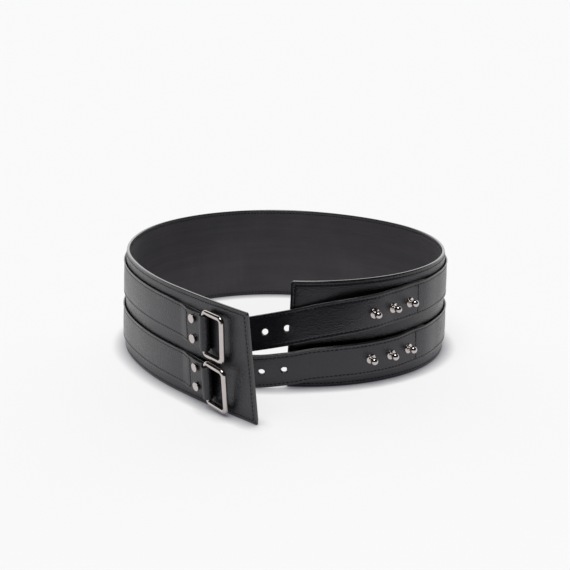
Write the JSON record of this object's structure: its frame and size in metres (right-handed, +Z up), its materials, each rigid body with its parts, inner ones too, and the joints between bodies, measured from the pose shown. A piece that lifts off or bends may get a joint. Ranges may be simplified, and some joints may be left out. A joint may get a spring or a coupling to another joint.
{
  "type": "wide waist belt",
  "caption": "Wide leather waist belt standing open on its edge, with narrow straps sewn round it that fold round square rings and run out as punched tongues with ball studs.",
  "frame": {"origin": "centre of the whole belt's box, on the surface that its lower edge stands on", "axes": "+Z up; -Y towards the open front; +X towards the end whose straps run out as tongues"},
  "size_m": [0.2942, 0.3578, 0.09],
  "materials": {
    "leather": "smooth matte black leather with a fine grain",
    "polished_metal": "polished nickel plate"
  },
  "bodies": {
    "belt": {"waist_panel": "leather", "strap_upper": "leather", "strap_lower": "leather", "rivet_upper_a": "polished_metal", "rivet_upper_b": "polished_metal", "rivet_lower_a": "polished_metal", "rivet_lower_b": "polished_metal", "stud_upper_1": "polished_metal", "stud_upper_2": "polished_metal", "stud_upper_3": "polished_metal", "stud_lower_1": "polished_metal", "stud_lower_2": "polished_metal", "stud_lower_3": "polished_metal"},
    "ring_upper": {"ring_upper": "polished_metal"},
    "ring_lower": {"ring_lower": "polished_metal"}
  },
  "joints": [
    {"name": "ring_upper_swing", "type": "hinge", "parent": "belt", "child": "ring_upper", "pos_m": [-0.06062, -0.14494, 0.06331], "axis": [0.0082, 0.0635, -0.998], "range_deg": [-5, 140]},
    {"name": "ring_lower_swing", "type": "hinge", "parent": "belt", "child": "ring_lower", "pos_m": [-0.05917, -0.14635, 0.02326], "axis": [0.0407, 0.1688, -0.9848], "range_deg": [-5, 140]}
  ]
}
